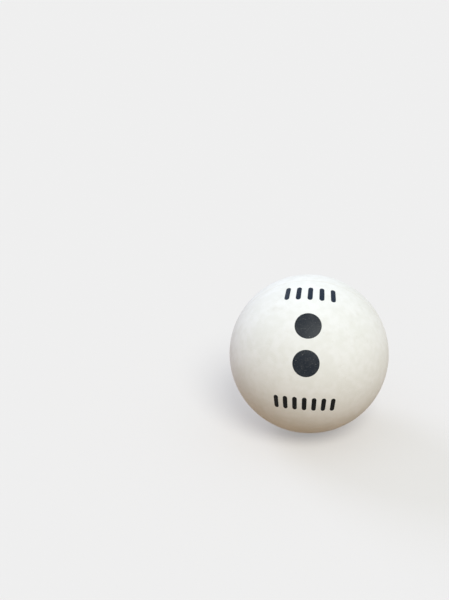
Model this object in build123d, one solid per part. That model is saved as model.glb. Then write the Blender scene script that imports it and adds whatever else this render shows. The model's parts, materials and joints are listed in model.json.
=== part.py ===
from build123d import *

import os
from math import sqrt

# Squash ball: two moulded rubber cups, cemented rim to rim into one sealed hollow ball.
# Millimetres. The origin is the centre of the ball, +Z is up and -Y is the front, which is the printed side.
# Both cups turn about the Y axis, and the seam between them lies in the XZ plane.

# Driving dimensions
ball_diameter = 40.0  # outside
wall = 5.0  # rubber, the same all round
cement_thickness = 0.2  # cured cement between the two rims
rim_bevel = 0.8  # inner edge of each rim, taken off when the rim is buffed flat
bead_height = 0.3  # how far the squeezed-out cement stands into the hollow

# Derived sizes
outer_radius = ball_diameter / 2
inner_radius = outer_radius - wall
rim_height = cement_thickness / 2  # of each rim above the seam plane
bevel_top = rim_height + rim_bevel


def on_circle(radius, height):
    """Profile point at that height on a circle about the centre of the ball."""
    return Vector(sqrt(radius**2 - height**2), height)


def below_seam(point):
    """The same profile point on the other side of the seam plane."""
    return Vector(point.X, -point.Y)


def round_centre(start, end):
    """Arc about the centre of the ball, between two points that lie equally far from it."""
    middle = (start + end).normalized() * start.length
    return ThreePointArc(start, middle, end)


# Profile points that a cup and the cement share, in the XY plane, on the +Y side of the seam
rim_outside = on_circle(outer_radius, rim_height)
rim_inside = Vector(inner_radius + rim_bevel, rim_height)
bevel_end = on_circle(inner_radius, bevel_top)


def half_shell():
    """One cup with its rim towards the seam plane and its crown on +Y."""
    crown_outside = Vector(0, outer_radius)
    crown_inside = Vector(0, inner_radius)
    profile = [
        round_centre(rim_outside, crown_outside),
        Line(crown_outside, crown_inside),
        round_centre(crown_inside, bevel_end),
        Polyline(bevel_end, rim_inside, rim_outside),
    ]
    return revolve(make_face(profile), Axis.Y)


def seam_cement():
    """Ring that fills the joint: buffed flush with the ball outside, swollen into a bead inside."""
    bead_crown = Vector(inner_radius - bead_height, 0)
    profile = [
        Polyline(rim_outside, rim_inside, bevel_end),
        ThreePointArc(bevel_end, bead_crown, below_seam(bevel_end)),
        Polyline(below_seam(bevel_end), below_seam(rim_inside), below_seam(rim_outside)),
        round_centre(below_seam(rim_outside), rim_outside),
    ]
    return revolve(make_face(profile), Axis.Y)


rear_half_shell = half_shell()
ball = {
    "front_half_shell": Rot(Z=180) * rear_half_shell,
    "rear_half_shell": rear_half_shell,
    "seam_cement": seam_cement(),
}

os.makedirs("parts", exist_ok=True)
for node, piece in ball.items():
    export_step(piece, f"parts/{node}.step")
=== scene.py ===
import json
from math import acos, asin, atan2, ceil, cos, hypot, pi, radians, sin

import bmesh
import bpy
from bpy.props import FloatProperty, FloatVectorProperty, IntProperty, PointerProperty
from mathutils import Matrix, Vector, noise


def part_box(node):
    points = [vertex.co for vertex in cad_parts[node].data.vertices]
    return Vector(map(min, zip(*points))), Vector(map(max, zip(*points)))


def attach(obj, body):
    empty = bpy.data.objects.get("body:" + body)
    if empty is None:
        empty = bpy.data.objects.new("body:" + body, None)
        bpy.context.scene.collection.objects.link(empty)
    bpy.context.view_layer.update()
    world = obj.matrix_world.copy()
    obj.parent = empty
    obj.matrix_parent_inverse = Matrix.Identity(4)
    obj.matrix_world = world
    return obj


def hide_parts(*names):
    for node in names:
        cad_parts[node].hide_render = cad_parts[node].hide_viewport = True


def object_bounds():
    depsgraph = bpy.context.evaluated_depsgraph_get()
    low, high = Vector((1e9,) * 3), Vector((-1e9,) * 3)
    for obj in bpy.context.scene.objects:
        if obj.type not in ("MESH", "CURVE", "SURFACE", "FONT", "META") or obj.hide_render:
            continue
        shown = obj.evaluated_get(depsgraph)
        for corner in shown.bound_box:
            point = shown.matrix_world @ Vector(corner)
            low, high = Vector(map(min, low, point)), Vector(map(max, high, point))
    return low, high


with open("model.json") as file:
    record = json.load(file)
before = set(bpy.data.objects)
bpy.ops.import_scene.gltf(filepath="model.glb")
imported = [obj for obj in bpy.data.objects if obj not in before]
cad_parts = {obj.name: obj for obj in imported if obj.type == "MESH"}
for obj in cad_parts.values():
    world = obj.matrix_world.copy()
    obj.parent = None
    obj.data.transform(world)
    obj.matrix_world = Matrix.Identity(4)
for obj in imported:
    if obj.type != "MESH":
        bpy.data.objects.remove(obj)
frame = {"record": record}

bl_info = {
    "name": "Squash ball",
    "version": (1, 0, 0),
    "blender": (4, 5, 0),
    "location": "View3D > Sidebar > Squash ball",
    "description": "Two cemented rubber half shells with printed marks, on a pale studio floor",
    "category": "Add Mesh",
}

# The construction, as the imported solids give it, in metres
CAD_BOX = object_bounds()
BALL_RADIUS = frame["record"]["mounts"][0]["dims"]["r_mm"] / 1000
RIM_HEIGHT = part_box("rear_half_shell")[0].y
BEVEL_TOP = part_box("seam_cement")[1].y
BODY = "root"

# The photograph's frame, in pixels
PHOTO_WIDTH = 449
PHOTO_HEIGHT = 600

# Making of the meshes, with lengths in metres
MERGE_DISTANCE = 1e-7
CREASE_ANGLE = radians(35)
RIM_STEPS = 5  # round the eased edge of a rim
CEMENT_STEPS = 3  # down that edge, where the cement lies against it
BEAD_SWELL = 0.25  # of the bead's height, past a straight flank
SKIN_SHARE = 0.9999  # of the ball's radius, beyond which a point is on the outer skin
CORNER_STEPS = 24  # round each corner of a mark
CORNER_SHARE = 0.4999  # of a mark's width, just short of where its corners would meet
FLOOR_SIDES = 96
FLOOR_RADIUS = 60

# Waves that buffing leaves in the skin, per radius of the ball
LONG_WAVES = 6
SHORT_WAVES = 15
SHORT_WAVE_HEIGHT = 0.5  # beside the long waves
SEAM_FADE = 0.06  # distance from the seam plane, in radii, from which the waves are whole

# Patterns of the finishes, in waves per millimetre
CLOUDS = 0.15
SMUDGES = 0.22
BLOTCHES = 0.6
PORE_CELLS = 0.9
GRAIN = 3.5
SCRATCHES = (0.3, 5, 5)  # along a scratch, then across it both ways
SCRATCH_TURNS = ((0.3, 0.5, 0.1), (1.2, -0.4, 0.9), (-0.7, 1.1, 2.0))  # angles of the crossed sets
GRIT = 3
INK_DENSITY = 0.9
PINHOLES = 2.6

# Relief of the finishes
GRAIN_HEIGHT = 0.00002  # in metres
SCRATCH_DEPTH = 0.35  # in heights of the grain
PORE_DEPTH = 1.5  # in heights of the grain
PORE_RADIUS = 0.09  # of the largest pores, in cells

# Shares of one colour that show in another
SMUDGE_STRENGTH = 0.35
PORE_DIRT = 0.5
GRIT_STRENGTH = 0.5
THIN_ON_GRAIN = 0.035  # rubber through the ink on the tops of the grain
THIN_IN_PATCHES = 0.008
THIN_IN_PINHOLES = 0.25

# Refraction of rubber, cement and ink alike
POLYMER_IOR = 1.5

# Sockets of a Mix node that blends colours
MIX_SHARE = 0
MIX_FIRST = 6
MIX_SECOND = 7
MIX_COLOUR = 2


def srgb(*levels):
    """Display levels from 0 to 255 as linear colour."""
    shares = [level / 255 for level in levels]
    return [s / 12.92 if s <= 0.04045 else ((s + 0.055) / 1.055) ** 2.4 for s in shares]


class ShellSizes(bpy.types.PropertyGroup):
    """Sizes of the two rubber half shells and the seam between them."""

    wall: FloatProperty(
        name="Wall", description="Thickness of the rubber", default=0.005, unit="LENGTH"
    )
    rim_ease: FloatProperty(
        name="Rim ease",
        description="Radius that buffing leaves on the outer edge of each rim",
        default=0.00006,
        unit="LENGTH",
    )
    seam_depth: FloatProperty(
        name="Seam depth",
        description="How far the cement lies below the skin of the ball",
        default=0.000015,
        unit="LENGTH",
    )
    bead_height: FloatProperty(
        name="Bead height",
        description="How far the squeezed-out cement stands into the hollow",
        default=0.0003,
        unit="LENGTH",
    )
    ripple: FloatProperty(
        name="Ripple",
        description="Height of the slow waves that buffing leaves in the skin",
        default=0.000008,
        unit="LENGTH",
    )
    rings: IntProperty(name="Rings", description="Steps from seam to crown", default=72)
    segments: IntProperty(name="Segments", description="Steps round the seam", default=240)


class PrintSizes(bpy.types.PropertyGroup):
    """Places and sizes of the printed marks."""

    azimuth: FloatProperty(
        name="Azimuth",
        description="Direction of the middle of the print, to the right of the front",
        default=radians(-1.5),
        subtype="ANGLE",
    )
    elevation: FloatProperty(
        name="Elevation",
        description="Height of the middle of the print above the equator",
        default=radians(33.4),
        subtype="ANGLE",
    )
    tilt: FloatProperty(
        name="Tilt",
        description="Turn of the whole print, clockwise as it is read",
        default=0,
        subtype="ANGLE",
    )
    film: FloatProperty(
        name="Ink film", description="Height of the ink on the skin", default=0.00002, unit="LENGTH"
    )
    cell: FloatProperty(
        name="Cell", description="Largest facet of an ink film", default=0.0004, unit="LENGTH"
    )
    dot_diameter: FloatProperty(
        name="Dot diameter", description="Across a speed dot", default=0.0064, unit="LENGTH"
    )
    dot_pitch: FloatProperty(
        name="Dot pitch", description="Between the middles of the dots", default=0.009, unit="LENGTH"
    )
    upper_distance: FloatProperty(
        name="Upper row distance",
        description="From the middle of the print to the upper row, along the skin",
        default=0.0139,
        unit="LENGTH",
    )
    upper_count: IntProperty(name="Upper bars", description="Bars in the upper row", default=5)
    upper_bar: FloatVectorProperty(
        name="Upper bar",
        description="Width and height of a bar in the upper row",
        size=2,
        default=(0.0013, 0.0045),
        unit="LENGTH",
    )
    upper_pitch: FloatProperty(
        name="Upper pitch", description="From bar to bar of the upper row", default=0.003, unit="LENGTH"
    )
    lower_distance: FloatProperty(
        name="Lower row distance",
        description="From the middle of the print to the lower row, along the skin",
        default=0.0149,
        unit="LENGTH",
    )
    lower_count: IntProperty(name="Lower bars", description="Bars in the lower row", default=7)
    lower_bar: FloatVectorProperty(
        name="Lower bar",
        description="Width and height of a bar in the lower row",
        size=2,
        default=(0.0012, 0.0038),
        unit="LENGTH",
    )
    lower_pitch: FloatProperty(
        name="Lower pitch", description="From bar to bar of the lower row", default=0.0025, unit="LENGTH"
    )


class BallColours(bpy.types.PropertyGroup):
    """Colours of the ball."""

    rubber: FloatVectorProperty(
        name="Rubber", description="Clean rubber", subtype="COLOR", default=srgb(241, 241, 237)
    )
    rubber_shade: FloatVectorProperty(
        name="Rubber shade",
        description="The duller patches in the rubber",
        subtype="COLOR",
        default=srgb(235, 235, 229),
    )
    smudge: FloatVectorProperty(
        name="Smudge", description="Marks of handling", subtype="COLOR", default=srgb(214, 210, 199)
    )
    cement: FloatVectorProperty(
        name="Cement", description="Cured rubber cement", subtype="COLOR", default=srgb(232, 229, 219)
    )
    # Painted reflection: the upper row's ink is lighter and bluer than the lower row's, standing in for
    # a cool gloss reflection
    upper_ink_painted_reflection: FloatVectorProperty(
        name="Upper ink",
        description="Ink of the upper row",
        subtype="COLOR",
        default=(0.006, 0.016, 0.033),
    )
    # Painted highlight: the dots are the same dark ink, made lighter by letting more rubber show through
    # it
    dot_ink_painted_highlight: FloatVectorProperty(
        name="Dot ink",
        description="Ink of the speed dots",
        subtype="COLOR",
        default=(0.002, 0.006, 0.013),
    )
    # Painted shade: the lower row's ink is near black, darker than the other rows
    lower_ink_painted_shade: FloatVectorProperty(
        name="Lower ink",
        description="Ink of the lower row",
        subtype="COLOR",
        default=(0.0014, 0.0015, 0.0009),
    )


class StageSettings(bpy.types.PropertyGroup):
    """Floor, light and camera."""

    floor: FloatVectorProperty(
        name="Floor",
        description="The floor as it is seen",
        subtype="COLOR",
        default=(0.785, 0.754, 0.713),
    )
    bounce: FloatVectorProperty(
        name="Bounce",
        description="The floor as it lights the underside of the ball",
        subtype="COLOR",
        default=(0.302, 0.182, 0.072),
    )
    floor_evenness: FloatProperty(
        name="Floor evenness",
        description="How far the floor's even paleness hides the shadow",
        default=0.35,
        subtype="FACTOR",
    )
    background: FloatVectorProperty(
        name="Background", description="Beyond the floor", subtype="COLOR", default=srgb(239, 239, 239)
    )
    dome: FloatVectorProperty(
        name="Dome", description="Light from all round", subtype="COLOR", default=(0.527, 0.548, 0.592)
    )
    key: FloatVectorProperty(
        name="Key", description="Light of the main lamp", subtype="COLOR", default=(0.584, 0.601, 0.577)
    )
    key_azimuth: FloatProperty(
        name="Key azimuth", description="To the right of the front", default=radians(22), subtype="ANGLE"
    )
    key_elevation: FloatProperty(
        name="Key elevation", description="Above the horizon", default=radians(51), subtype="ANGLE"
    )
    fill: FloatVectorProperty(
        name="Fill", description="Light of the cool lamp", subtype="COLOR", default=(0.23, 0.249, 0.326)
    )
    fill_azimuth: FloatProperty(
        name="Fill azimuth",
        description="To the right of the front",
        default=radians(-128),
        subtype="ANGLE",
    )
    fill_elevation: FloatProperty(
        name="Fill elevation", description="Above the horizon", default=radians(32), subtype="ANGLE"
    )
    lamp_spread: FloatProperty(
        name="Lamp spread", description="How wide each lamp looks", default=radians(30), subtype="ANGLE"
    )
    camera_distance: FloatProperty(
        name="Camera distance",
        description="From the middle of the ball",
        default=0.2295,
        unit="LENGTH",
    )
    camera_elevation: FloatProperty(
        name="Camera elevation", description="Above the horizon", default=radians(27.4), subtype="ANGLE"
    )
    focal_pixels: FloatProperty(
        name="Focal length",
        description="In pixels of the photograph",
        default=900,
        subtype="PIXEL",
    )
    ball_place: FloatVectorProperty(
        name="Ball place",
        description="Middle of the ball in the photograph, from its upper left corner",
        size=2,
        default=(308.5, 353.4),
    )


class Value:
    """An output of a shader node. Arithmetic on it adds Math nodes."""

    def __init__(self, shader, socket):
        self.shader = shader
        self.socket = socket

    def math(self, operation, first, second):
        return self.shader.node("ShaderNodeMath", {"operation": operation}, {0: first, 1: second})

    def __add__(self, other):
        return self.math("ADD", self, other)

    __radd__ = __add__

    def __sub__(self, other):
        return self.math("SUBTRACT", self, other)

    def __rsub__(self, other):
        return self.math("SUBTRACT", other, self)

    def __mul__(self, other):
        return self.math("MULTIPLY", self, other)

    __rmul__ = __mul__

    def __or__(self, other):
        """The larger of the two, so that masks join."""
        return self.math("MAXIMUM", self, other)

    __ror__ = __or__


class Shader:
    """A node tree that is being written."""

    def __init__(self, owner):
        owner.use_nodes = True
        self.tree = owner.node_tree
        self.tree.nodes.clear()

    def node(self, kind, settings=None, sockets=None, output=0):
        """Adds a node, sets it up, fills or links its sockets and gives one of its outputs."""
        node = self.tree.nodes.new(kind)
        for name, setting in (settings or {}).items():
            setattr(node, name, setting)
        for name, value in (sockets or {}).items():
            socket = node.inputs[name]
            if isinstance(value, Value):
                self.tree.links.new(value.socket, socket)
            elif socket.type == "RGBA":
                socket.default_value = (*value, 1)
            else:
                socket.default_value = value
        return Value(self, node.outputs[output]) if node.outputs else None

    def mix(self, share, first, second):
        """Blends two colours."""
        settings = {"data_type": "RGBA", "clamp_factor": True}
        sockets = {MIX_SHARE: share, MIX_FIRST: first, MIX_SECOND: second}
        return self.node("ShaderNodeMix", settings, sockets, output=MIX_COLOUR)

    def blend(self, share, first, second):
        """Blends two surfaces or backgrounds."""
        return self.node("ShaderNodeMixShader", {}, {0: share, 1: first, 2: second})

    def noise(self, places, scale, detail=2.0, roughness=0.5):
        """Cloudy noise about 0.5, with a scale in waves per unit of the places."""
        sockets = {"Vector": places, "Scale": scale, "Detail": detail, "Roughness": roughness}
        return self.node("ShaderNodeTexNoise", {"noise_dimensions": "3D"}, sockets)

    def step(self, value, low, high):
        """Soft step from 0 at the low value to 1 at the high one."""
        sockets = {"Value": value, "From Min": low, "From Max": high}
        return self.node("ShaderNodeMapRange", {"interpolation_type": "SMOOTHSTEP"}, sockets)

    def millimetres(self):
        """Places on the piece, in millimetres from the middle of the ball."""
        places = self.node("ShaderNodeTexCoord", output="Object")
        return self.scaled(places, (1000, 1000, 1000))

    def scaled(self, places, factors):
        """Places stretched along X, Y and Z."""
        return self.node("ShaderNodeVectorMath", {"operation": "MULTIPLY"}, {0: places, 1: factors})

    def turned(self, places, angles):
        """Places turned about the middle of the ball."""
        sockets = {"Vector": places, "Rotation": angles}
        return self.node("ShaderNodeMapping", {"vector_type": "POINT"}, sockets)

    def bump(self, height, strength):
        """Surface normal from a height, where 1 is the height of the grain."""
        sockets = {"Height": height, "Distance": GRAIN_HEIGHT, "Strength": strength}
        return self.node("ShaderNodeBump", {}, sockets)

    def finish(self, **sockets):
        """Ends a surface material in one Principled shader."""
        named = {name.replace("_", " "): value for name, value in sockets.items()}
        surface = self.node("ShaderNodeBsdfPrincipled", {}, named)
        self.node("ShaderNodeOutputMaterial", {}, {"Surface": surface})


def skin_grain(shader, places):
    """Fine grain of the skin, about 0.5. The ink on it takes on the same grain."""
    return shader.noise(places, GRAIN, detail=3, roughness=0.6)


def buffing_marks(shader, places):
    """Fine crossed scratches that the buffing wheel leaves, from 0 to 1."""
    marks = []
    for angles in SCRATCH_TURNS:
        streaks = shader.scaled(shader.turned(places, angles), SCRATCHES)
        marks.append(shader.step(shader.noise(streaks, 1, detail=1), low=0.6, high=0.75))
    return marks[0] | marks[1] | marks[2]


def pores(shader, places):
    """Small round pits, one in about every third cell, from 0 on the skin to 1 in a pit."""
    cells = {"Vector": places, "Scale": PORE_CELLS}
    distance = shader.node("ShaderNodeTexVoronoi", {"feature": "F1"}, cells)
    colour = shader.node("ShaderNodeTexVoronoi", {"feature": "F1"}, cells, output="Color")
    draw = shader.node("ShaderNodeSeparateColor", {}, {"Color": colour})
    radius = PORE_RADIUS * shader.step(draw, low=0.6, high=1)
    return shader.step(radius - distance, low=-0.01, high=0.03)


def buffed_rubber(shader, colours):
    """Matt white rubber, buffed all over: faint clouds and smudges, fine grain, scratches and pores."""
    places = shader.millimetres()
    clouds = shader.noise(places, CLOUDS)
    blotches = shader.noise(places, BLOTCHES, detail=3)
    smudges = shader.noise(places, SMUDGES, detail=4, roughness=0.65)
    grain = skin_grain(shader, places)
    scratches = buffing_marks(shader, places)
    pits = pores(shader, places)
    dull = shader.step(clouds + blotches, low=0.7, high=1.3)
    handled = shader.step(smudges, low=0.56, high=0.8)
    colour = shader.mix(dull, colours.rubber, colours.rubber_shade)
    colour = shader.mix(handled * SMUDGE_STRENGTH, colour, colours.smudge)
    colour = shader.mix(pits * PORE_DIRT, colour, colours.smudge)
    shader.finish(
        Base_Color=colour,
        Roughness=0.5 + clouds * 0.1 + grain * 0.15 + scratches * 0.05,
        Normal=shader.bump(grain - scratches * SCRATCH_DEPTH - pits * PORE_DEPTH, strength=1),
        Diffuse_Roughness=0.15,
        IOR=POLYMER_IOR,
        Specular_IOR_Level=0.14,
    )


def cured_cement(shader, colours):
    """Cured rubber cement: yellower and a little shinier than the rubber, with trapped grit."""
    places = shader.millimetres()
    grit = shader.noise(places, GRIT, detail=3, roughness=0.6)
    gritty = shader.step(grit, low=0.45, high=0.7)
    shader.finish(
        Base_Color=shader.mix(gritty * GRIT_STRENGTH, colours.cement, colours.smudge),
        Roughness=0.45 + grit * 0.2,
        Normal=shader.bump(grit, strength=0.5),
        IOR=POLYMER_IOR,
        Specular_IOR_Level=0.3,
    )


def satin_ink(shader, ink, rubber, gloss, wear_and_painted_light):
    """Dark satin ink that takes on the rubber's grain, worn thin on its tops, with a few pinholes."""
    places = shader.millimetres()
    density = shader.noise(places, INK_DENSITY)
    grain = skin_grain(shader, places)
    tops = shader.step(grain, low=0.52, high=0.78)
    patches = shader.step(density, low=0.4, high=0.8)
    holes = shader.step(shader.noise(places, PINHOLES), low=0.72, high=0.78)
    worn = tops * THIN_ON_GRAIN + patches * THIN_IN_PATCHES
    shader.finish(
        # The rubber showing through is real wear on the grain tops and in patches, but its per-row scale
        # paints light: raised on the dots as a painted highlight, lowered on the lower row as painted
        # shade
        Base_Color=shader.mix(worn * wear_and_painted_light + holes * THIN_IN_PINHOLES, ink, rubber),
        Roughness=0.36 + density * 0.1 + grain * 0.15,
        Normal=shader.bump(grain, strength=0.8),
        IOR=POLYMER_IOR,
        Specular_IOR_Level=gloss,
    )


def ink_with_painted_reflection(shader, colours):
    """Ink of the upper row, blue-black: its extra blue and lightness are a painted cool reflection."""
    satin_ink(shader, colours.upper_ink_painted_reflection, colours.rubber_shade, gloss=0.2, wear_and_painted_light=1)


def ink_with_painted_highlight(shader, colours):
    """Ink of the dots, with the most gloss; it lets twice the rubber through its worn spots as a painted
    highlight.
    """
    satin_ink(shader, colours.dot_ink_painted_highlight, colours.rubber_shade, gloss=0.3, wear_and_painted_light=2)


def ink_with_painted_shade(shader, colours):
    """Ink of the lower row, with the least gloss: near black, with less rubber through it, as painted
    shade.
    """
    satin_ink(shader, colours.lower_ink_painted_shade, colours.rubber_shade, gloss=0.13, wear_and_painted_light=0.5)


def material_of(finish, colours):
    """The material of a finish, made on first use and named after it."""
    material = bpy.data.materials.get(finish.__name__)
    if material is None:
        material = bpy.data.materials.new(finish.__name__)
        finish(Shader(material), colours)
    return material


def add_piece(name, bm, material, replaced=()):
    """Turns a finished bmesh into a piece of the ball."""
    mesh = bpy.data.meshes.new(name)
    bm.to_mesh(mesh)
    bm.free()
    mesh.materials.append(material)
    mesh.shade_smooth()
    mesh.set_sharp_from_angle(angle=CREASE_ANGLE)
    piece = bpy.data.objects.new(name, mesh)
    bpy.context.scene.collection.objects.link(piece)
    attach(piece, BODY)
    if replaced:
        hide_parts(*replaced)


def arc(centre, radius, start, end, steps):
    """Profile points on an arc, from one angle to another."""
    angles = [start + (end - start) * i / steps for i in range(steps + 1)]
    return [Vector((centre[0] + radius * cos(a), centre[1] + radius * sin(a), 0)) for a in angles]


def turned_about_y(profile, segments, closed):
    """Surface of a profile, given in the XY plane, that is turned about the Y axis."""
    bm = bmesh.new()
    verts = [bm.verts.new(point) for point in profile]
    pairs = list(zip(verts, verts[1:] + verts[:1] if closed else verts[1:]))
    edges = [bm.edges.new(pair) for pair in pairs]
    bmesh.ops.spin(
        bm,
        geom=verts + edges,
        cent=(0, 0, 0),
        axis=(0, 1, 0),
        angle=2 * pi,
        steps=segments,
        use_merge=True,
    )
    bmesh.ops.remove_doubles(bm, verts=bm.verts, dist=MERGE_DISTANCE)
    bmesh.ops.recalc_face_normals(bm, faces=bm.faces)
    return bm


def skin_height(direction, ripple):
    """Height of the buffed skin over the true sphere. It fades out at the seam."""
    long_waves = noise.noise(direction * LONG_WAVES)
    short_waves = noise.noise(direction * SHORT_WAVES)
    fade = min(1, abs(direction.y) / SEAM_FADE)
    return ripple * (long_waves + SHORT_WAVE_HEIGHT * short_waves) * fade


def eased_edge(sizes, start, end, steps):
    """Arc that rounds the outer edge of the +Y rim, by the angle of its normal above the seam plane."""
    centre = (BALL_RADIUS - sizes.rim_ease, RIM_HEIGHT + sizes.rim_ease)
    return arc(centre, sizes.rim_ease, start, end, steps)


def half_shell(sizes):
    """Hollow cup with its crown on +Y: waved skin, eased and bevelled rim, plain inner wall."""
    inner_radius = BALL_RADIUS - sizes.wall
    bevel = BEVEL_TOP - RIM_HEIGHT
    rim_angle = asin((RIM_HEIGHT + sizes.rim_ease) / BALL_RADIUS)
    profile = arc((0, 0), BALL_RADIUS, pi / 2, rim_angle, sizes.rings)
    profile += eased_edge(sizes, 0, -pi / 2, RIM_STEPS)
    profile += [Vector((inner_radius + bevel, RIM_HEIGHT, 0))]
    profile += arc((0, 0), inner_radius, asin(BEVEL_TOP / inner_radius), pi / 2, sizes.rings // 2)
    bm = turned_about_y(profile, sizes.segments, closed=False)
    for vert in bm.verts:
        if vert.co.length > BALL_RADIUS * SKIN_SHARE:
            direction = vert.co.normalized()
            vert.co = direction * (vert.co.length + skin_height(direction, sizes.ripple))
    return bm


class BALL_OT_half_shells(bpy.types.Operator):
    """Make the front and the rear half shell"""

    bl_idname = "ball.half_shells"
    bl_label = "Half shells"

    def execute(self, context):
        scene = context.scene
        rubber = material_of(buffed_rubber, scene.ball_colours)
        for side, turn in (("front", pi), ("rear", 0)):
            bm = half_shell(scene.ball_shell)
            turned = Matrix.Rotation(turn, 3, "Z")
            bmesh.ops.rotate(bm, verts=bm.verts, cent=(0, 0, 0), matrix=turned)
            add_piece(f"{side}_rubber_shell", bm, rubber, [f"{side}_half_shell"])
        return {"FINISHED"}


def cement_ring(sizes):
    """Ring between the rims, sunk a little below the skin and swollen into a bead inside."""
    inner_radius = BALL_RADIUS - sizes.wall
    bevel = BEVEL_TOP - RIM_HEIGHT
    sunk_angle = -acos(1 - sizes.seam_depth / sizes.rim_ease)
    bevel_end = Vector(((inner_radius**2 - BEVEL_TOP**2) ** 0.5, BEVEL_TOP, 0))
    crown = Vector((inner_radius - sizes.bead_height, 0, 0))
    flank = bevel_end.lerp(crown, 0.5) - Vector((sizes.bead_height * BEAD_SWELL, 0, 0))
    upper = eased_edge(sizes, sunk_angle, -pi / 2, CEMENT_STEPS)
    upper += [Vector((inner_radius + bevel, RIM_HEIGHT, 0)), bevel_end, flank]
    lower = [Vector((point.x, -point.y, 0)) for point in reversed(upper)]
    return turned_about_y(upper + [crown] + lower, sizes.segments, closed=True)


class BALL_OT_seam_cement(bpy.types.Operator):
    """Make the ring of cement between the rims"""

    bl_idname = "ball.seam_cement"
    bl_label = "Seam cement"

    def execute(self, context):
        scene = context.scene
        bm = cement_ring(scene.ball_shell)
        cement = material_of(cured_cement, scene.ball_colours)
        add_piece("seam_cement_ring", bm, cement, ["seam_cement"])
        return {"FINISHED"}


def flat_mark(middle, size, marks):
    """Flat ink film with round ends, in cells so that it can bend. Half of it is below the skin."""
    bm = bmesh.new()
    bmesh.ops.create_grid(bm, x_segments=1, y_segments=1, size=0.5)
    bmesh.ops.scale(bm, verts=bm.verts, vec=(*size, 1))
    bmesh.ops.bevel(
        bm,
        geom=bm.verts[:],
        affect="VERTICES",
        offset=CORNER_SHARE * min(size),
        segments=CORNER_STEPS,
        profile=0.5,
        material=-1,
    )
    for normal, extent in (((1, 0, 0), size[0]), ((0, 1, 0), size[1])):
        cells = ceil(extent / marks.cell)
        for i in range(1, cells):
            bmesh.ops.bisect_plane(
                bm,
                geom=bm.verts[:] + bm.edges[:] + bm.faces[:],
                plane_co=Vector(normal) * extent * (i / cells - 0.5),
                plane_no=normal,
                dist=MERGE_DISTANCE,
            )
    bmesh.ops.solidify(bm, geom=bm.faces[:], thickness=2 * marks.film)
    bmesh.ops.recalc_face_normals(bm, faces=bm.faces)
    height = sum(vert.co.z for vert in bm.verts) / len(bm.verts)
    bmesh.ops.translate(bm, verts=bm.verts, vec=(*middle, -height))
    return bm


def from_ball(azimuth, elevation):
    """Direction from the ball, by angles to the right of the front and above the horizon."""
    return Vector((sin(azimuth) * cos(elevation), -cos(azimuth) * cos(elevation), sin(elevation)))


def print_axes(marks):
    """Right, up and out of the middle of the print, as it is read."""
    out = from_ball(marks.azimuth, marks.elevation)
    level = Vector((0, 0, 1)).cross(out).normalized()
    upright = out.cross(level)
    right = level * cos(marks.tilt) - upright * sin(marks.tilt)
    up = upright * cos(marks.tilt) + level * sin(marks.tilt)
    return right, up, out


def lay_on_skin(bm, scene):
    """Rolls a flat mark onto the ball, from the middle of the print outwards, as a soft pad does."""
    right, up, out = print_axes(scene.ball_print)
    for vert in bm.verts:
        distance = hypot(vert.co.x, vert.co.y)
        sideways = (right * vert.co.x + up * vert.co.y).normalized()
        angle = distance / BALL_RADIUS
        direction = out * cos(angle) + sideways * sin(angle)
        skin = BALL_RADIUS + skin_height(direction, scene.ball_shell.ripple)
        vert.co = direction * (skin + vert.co.z)


def add_mark(name, scene, middle, size, ink):
    """Prints one mark."""
    bm = flat_mark(middle, size, scene.ball_print)
    lay_on_skin(bm, scene)
    add_piece(name, bm, material_of(ink, scene.ball_colours))


class BALL_OT_speed_dots(bpy.types.Operator):
    """Print the pair of speed dots, one over the other"""

    bl_idname = "ball.speed_dots"
    bl_label = "Speed dots"

    def execute(self, context):
        scene = context.scene
        marks = scene.ball_print
        size = (marks.dot_diameter, marks.dot_diameter)
        for name, side in (("upper", 1), ("lower", -1)):
            middle = (0, side * marks.dot_pitch / 2)
            add_mark(f"speed_dot_{name}", scene, middle, size, ink_with_painted_highlight)
        return {"FINISHED"}


class BALL_OT_print_rows(bpy.types.Operator):
    """Print the row of bars above the dots and the row below them"""

    bl_idname = "ball.print_rows"
    bl_label = "Print rows"

    def execute(self, context):
        scene = context.scene
        marks = scene.ball_print
        upper = (marks.upper_distance, marks.upper_count, marks.upper_pitch, marks.upper_bar)
        lower = (-marks.lower_distance, marks.lower_count, marks.lower_pitch, marks.lower_bar)
        rows = (("upper", upper, ink_with_painted_reflection), ("lower", lower, ink_with_painted_shade))
        for name, (height, count, pitch, bar), ink in rows:
            for i in range(count):
                across = (i - (count - 1) / 2) * pitch
                add_mark(f"{name}_bar_{i + 1}", scene, (across, height), bar, ink)
        return {"FINISHED"}


def add_lamp(name, light, azimuth, elevation, spread):
    """Wide soft lamp, far off. White paper that faces it returns the light as given."""
    lamp = bpy.data.lights.new(name, "SUN")
    strength = max(light)
    lamp.energy = strength * pi
    lamp.color = [level / strength for level in light]
    lamp.angle = spread
    holder = bpy.data.objects.new(name, lamp)
    holder.rotation_mode = "QUATERNION"
    holder.rotation_quaternion = from_ball(azimuth, elevation).to_track_quat("Z", "Y")
    bpy.context.scene.collection.objects.link(holder)


def seen_rays(shader):
    """1 for rays that show the background, also in a gloss, and 0 for those that only light things."""
    camera = shader.node("ShaderNodeLightPath", output="Is Camera Ray")
    glossy = shader.node("ShaderNodeLightPath", output="Is Glossy Ray")
    transmission = shader.node("ShaderNodeLightPath", output="Is Transmission Ray")
    return camera | glossy | transmission


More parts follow.
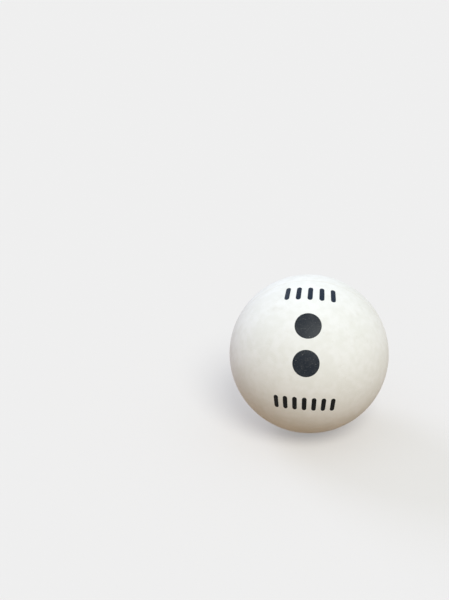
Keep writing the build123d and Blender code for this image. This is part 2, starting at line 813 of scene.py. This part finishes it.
def add_floor(stage):
    """Wide pale floor under the ball."""
    bm = bmesh.new()
    bmesh.ops.create_circle(bm, cap_ends=True, segments=FLOOR_SIDES, radius=FLOOR_RADIUS)
    bmesh.ops.translate(bm, verts=bm.verts, vec=(0, 0, CAD_BOX[0].z))
    mesh = bpy.data.meshes.new("floor")
    bm.to_mesh(mesh)
    bm.free()
    material = bpy.data.materials.new("pale_floor")
    shader = Shader(material)
    lit = shader.node("ShaderNodeBsdfDiffuse", {}, {"Color": stage.floor})
    even = shader.node("ShaderNodeEmission", {}, {"Color": stage.background})
    pale = shader.blend(stage.floor_evenness, lit, even)
    warm = shader.node("ShaderNodeBsdfDiffuse", {}, {"Color": stage.bounce})
    surface = shader.blend(seen_rays(shader), warm, pale)
    shader.node("ShaderNodeOutputMaterial", {}, {"Surface": surface})
    mesh.materials.append(material)
    floor = bpy.data.objects.new("floor", mesh)
    bpy.context.scene.collection.objects.link(floor)


def add_world(stage):
    """Even light from all round, and the pale background behind it."""
    world = bpy.data.worlds.new("studio")
    shader = Shader(world)
    dome = shader.node("ShaderNodeBackground", {}, {"Color": stage.dome})
    pale = shader.node("ShaderNodeBackground", {}, {"Color": stage.background})
    surface = shader.blend(seen_rays(shader), dome, pale)
    shader.node("ShaderNodeOutputWorld", {}, {"Surface": surface})
    bpy.context.scene.world = world


def add_camera(stage):
    """Level camera that puts the ball where the photograph has it."""
    data = bpy.data.cameras.new("camera")
    data.lens = stage.focal_pixels / max(PHOTO_WIDTH, PHOTO_HEIGHT) * data.sensor_width
    data.clip_start = 0.01
    camera = bpy.data.objects.new("camera", data)
    back = from_ball(0, stage.camera_elevation)
    camera.location = back * stage.camera_distance
    # Direction to the ball in the camera's own axes
    across = (stage.ball_place[0] - PHOTO_WIDTH / 2) / stage.focal_pixels
    down = (stage.ball_place[1] - PHOTO_HEIGHT / 2) / stage.focal_pixels
    seen = Vector((across, -down, -1)).normalized()
    # The pitch brings that direction to the right slope, and the heading turns it to the ball
    pitch = asin(-back.z / hypot(seen.y, seen.z)) - atan2(seen.z, seen.y)
    level = Matrix.Rotation(pitch, 3, "X") @ seen
    heading = atan2(-back.y, -back.x) - atan2(level.y, level.x)
    camera.rotation_euler = (pitch, 0, heading)
    bpy.context.scene.collection.objects.link(camera)
    bpy.context.scene.camera = camera


class BALL_OT_stage(bpy.types.Operator):
    """Set up the floor, the light and the camera"""

    bl_idname = "ball.stage"
    bl_label = "Stage"

    def execute(self, context):
        stage = context.scene.ball_stage
        add_floor(stage)
        add_world(stage)
        add_lamp("key", stage.key, stage.key_azimuth, stage.key_elevation, stage.lamp_spread)
        add_lamp("fill", stage.fill, stage.fill_azimuth, stage.fill_elevation, stage.lamp_spread)
        add_camera(stage)
        context.scene.view_settings.view_transform = "Standard"
        return {"FINISHED"}


GROUPS = {
    "ball_shell": ShellSizes,
    "ball_print": PrintSizes,
    "ball_colours": BallColours,
    "ball_stage": StageSettings,
}
OPERATORS = (
    BALL_OT_half_shells,
    BALL_OT_seam_cement,
    BALL_OT_speed_dots,
    BALL_OT_print_rows,
    BALL_OT_stage,
)


class VIEW3D_PT_squash_ball(bpy.types.Panel):
    """Sizes, colours and steps of the squash ball"""

    bl_label = "Squash ball"
    bl_space_type = "VIEW_3D"
    bl_region_type = "UI"
    bl_category = "Squash ball"

    def draw(self, context):
        for group_name, group in GROUPS.items():
            box = self.layout.box()
            for name in group.__annotations__:
                box.prop(getattr(context.scene, group_name), name)
        for operator in OPERATORS:
            self.layout.operator(operator.bl_idname)


CLASSES = (*GROUPS.values(), *OPERATORS, VIEW3D_PT_squash_ball)


def register():
    for cls in CLASSES:
        bpy.utils.register_class(cls)
    for name, group in GROUPS.items():
        setattr(bpy.types.Scene, name, PointerProperty(type=group))


def unregister():
    for name in GROUPS:
        delattr(bpy.types.Scene, name)
    for cls in reversed(CLASSES):
        bpy.utils.unregister_class(cls)


def main():
    register()
    bpy.ops.ball.half_shells()
    bpy.ops.ball.seam_cement()
    bpy.ops.ball.speed_dots()
    bpy.ops.ball.print_rows()
    bpy.ops.ball.stage()


if __name__ == "__main__":
    main()
